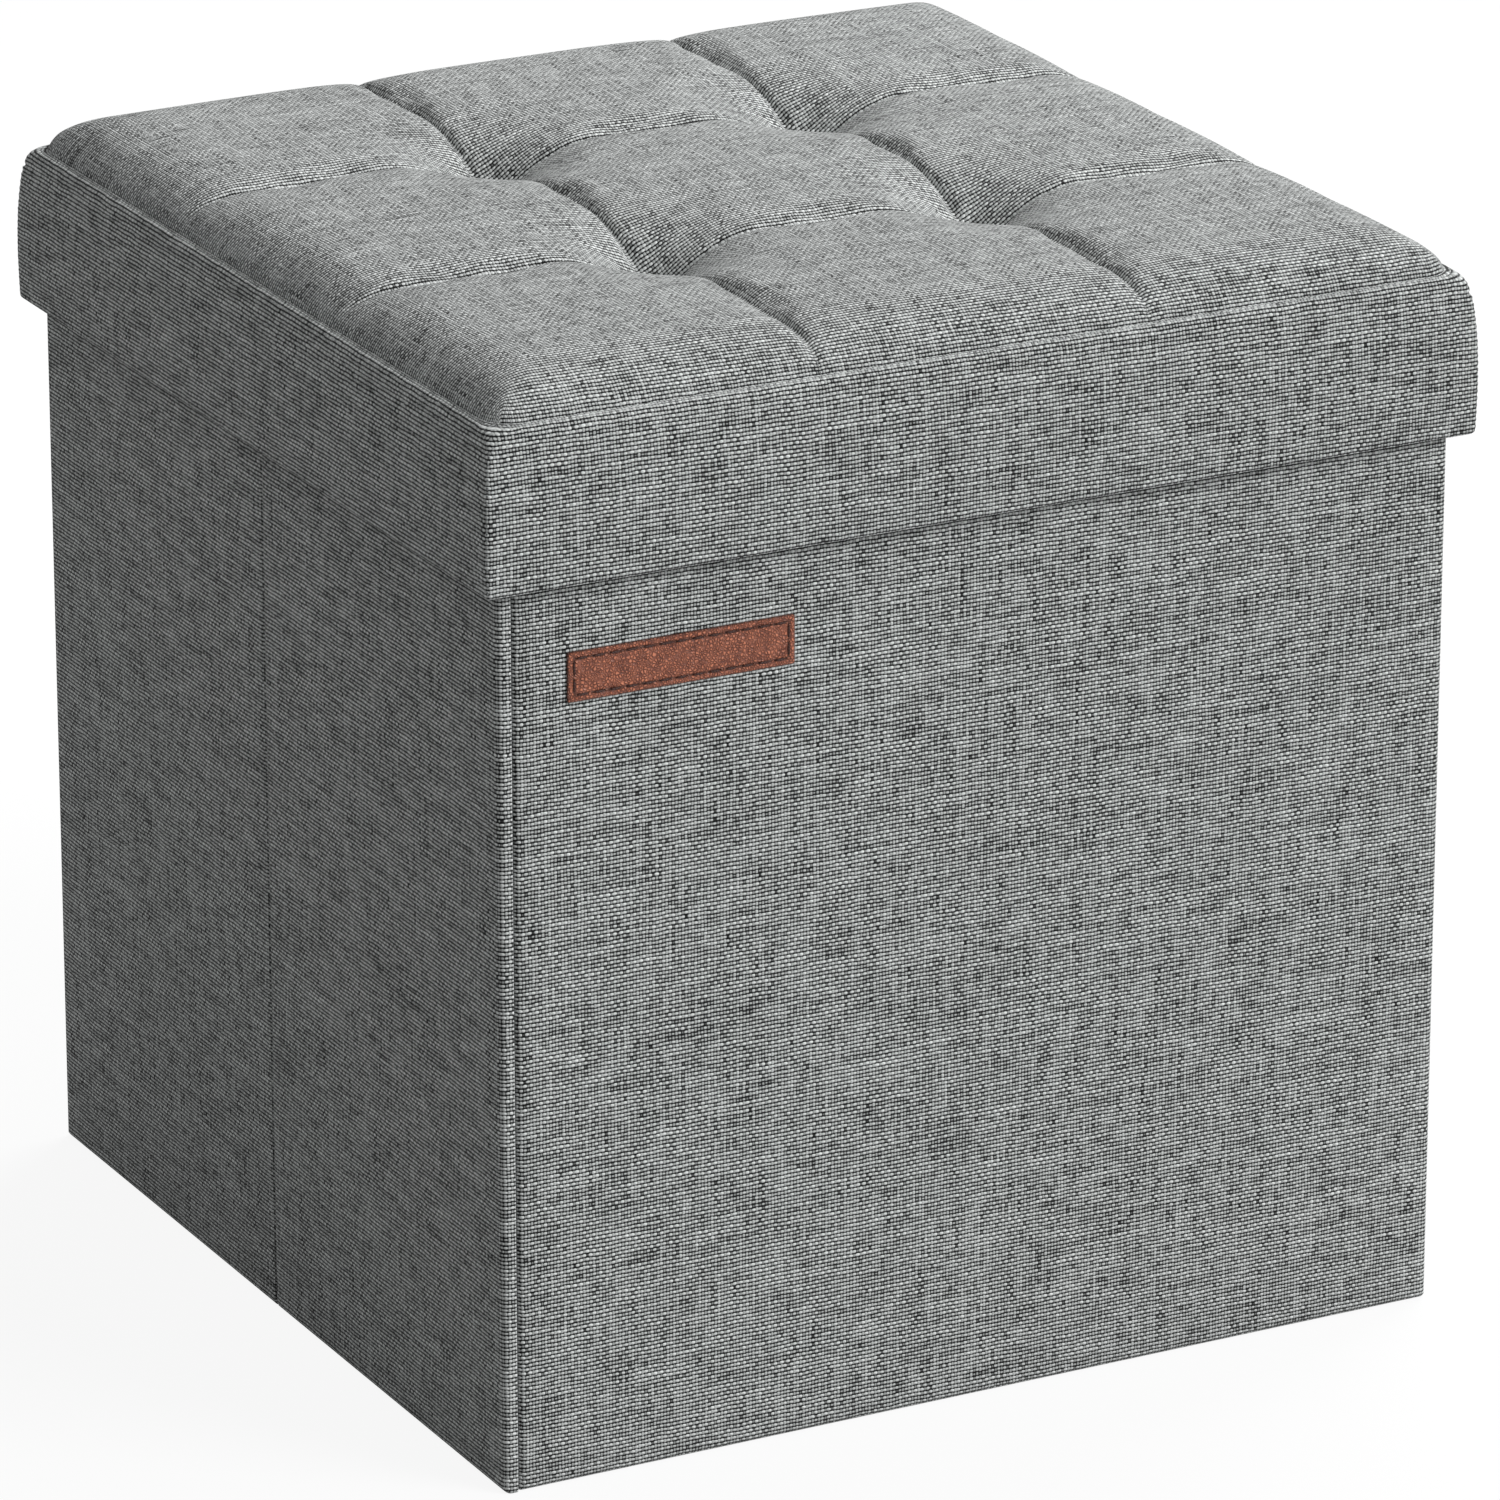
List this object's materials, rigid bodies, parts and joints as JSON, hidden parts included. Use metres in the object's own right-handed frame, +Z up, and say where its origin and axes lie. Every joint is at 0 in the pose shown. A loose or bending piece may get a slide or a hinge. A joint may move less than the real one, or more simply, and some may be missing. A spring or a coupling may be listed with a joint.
{
  "type": "ottoman with storage",
  "caption": "Square fabric storage ottoman with a padded, tufted lift-off lid, fold-flat board walls that crease inwards and a small bare leather label.",
  "frame": {"origin": "floor level under the middle of the body", "axes": "+Z up, front wall with the label faces -Y, creased side walls face -X and +X"},
  "size_m": [0.3812, 0.3812, 0.396],
  "materials": {
    "linen_weave": "plain-weave linen-look polyester, heathered grey, matt",
    "nonwoven_lining": "charcoal spun-bonded non-woven polypropylene, point-bonded, matt",
    "panel_board": "thin raw fibreboard",
    "cushion_foam": "open-cell polyurethane foam",
    "label_leather": "reddish-brown grained leather, bare, stitched edge",
    "label_thread": "dark brown sewing thread",
    "tuft_cord": "grey twisted tufting twine",
    "washer_plastic": "moulded black nylon"
  },
  "bodies": {
    "front_wall": {"front_wall_cover": "linen_weave", "front_wall_board": "panel_board", "front_wall_lining": "nonwoven_lining", "leather_label": "label_leather", "label_stitching": "label_thread", "bottom_sheet": "nonwoven_lining", "front_left_corner_hinge": "nonwoven_lining", "front_right_corner_hinge": "nonwoven_lining"},
    "left_front_wall": {"left_front_wall_cover": "linen_weave", "left_front_wall_board": "panel_board", "left_front_wall_lining": "nonwoven_lining", "left_crease_hinge": "linen_weave"},
    "left_rear_wall": {"left_rear_wall_cover": "linen_weave", "left_rear_wall_board": "panel_board", "left_rear_wall_lining": "nonwoven_lining", "back_left_corner_hinge": "nonwoven_lining"},
    "back_wall": {"back_wall_cover": "linen_weave", "back_wall_board": "panel_board", "back_wall_lining": "nonwoven_lining"},
    "right_front_wall": {"right_front_wall_cover": "linen_weave", "right_front_wall_board": "panel_board", "right_front_wall_lining": "nonwoven_lining", "right_crease_hinge": "linen_weave"},
    "right_rear_wall": {"right_rear_wall_cover": "linen_weave", "right_rear_wall_board": "panel_board", "right_rear_wall_lining": "nonwoven_lining", "back_right_corner_hinge": "nonwoven_lining"},
    "lid": {"lid_board": "panel_board", "lid_front_rail": "panel_board", "lid_back_rail": "panel_board", "lid_left_rail": "panel_board", "lid_right_rail": "panel_board", "lid_lining": "nonwoven_lining", "lid_foam": "cushion_foam", "lid_top_cover": "linen_weave", "lid_boxing": "linen_weave", "lid_welt": "linen_weave", "tuft_ties": "tuft_cord", "tuft_washers": "washer_plastic"}
  },
  "joints": [
    {"name": "wall_fold", "type": "hinge", "parent": "front_wall", "child": "left_front_wall", "pos_m": [-0.1777, -0.1777, 0], "axis": [0, 0, -1], "range_deg": [0, 86], "deforming": ["left_crease_hinge", "right_crease_hinge", "front_left_corner_hinge", "front_right_corner_hinge", "back_left_corner_hinge", "back_right_corner_hinge", "bottom_sheet"]},
    {"name": "left_crease", "type": "hinge", "parent": "left_front_wall", "child": "left_rear_wall", "pos_m": [-0.183, 0, 0], "axis": [0, 0, 1], "range_deg": [0, 172]},
    {"name": "back_corner", "type": "hinge", "parent": "left_rear_wall", "child": "back_wall", "pos_m": [-0.1777, 0.1777, 0], "axis": [0, 0, -1], "range_deg": [0, 86]},
    {"name": "right_front_corner", "type": "hinge", "parent": "front_wall", "child": "right_front_wall", "pos_m": [0.1777, -0.1777, 0], "axis": [0, 0, 1], "range_deg": [0, 86]},
    {"name": "right_crease", "type": "hinge", "parent": "right_front_wall", "child": "right_rear_wall", "pos_m": [0.183, 0, 0], "axis": [0, 0, -1], "range_deg": [0, 172]},
    {"name": "lid_lift", "type": "slide", "parent": "front_wall", "child": "lid", "axis": [0, 0, 1], "range_m": [0, 0.25]}
  ],
  "couplings": [
    {"joint": "left_crease", "follows": "wall_fold", "ratio": 2},
    {"joint": "back_corner", "follows": "wall_fold", "ratio": 1},
    {"joint": "right_front_corner", "follows": "wall_fold", "ratio": 1},
    {"joint": "right_crease", "follows": "wall_fold", "ratio": 2}
  ]
}
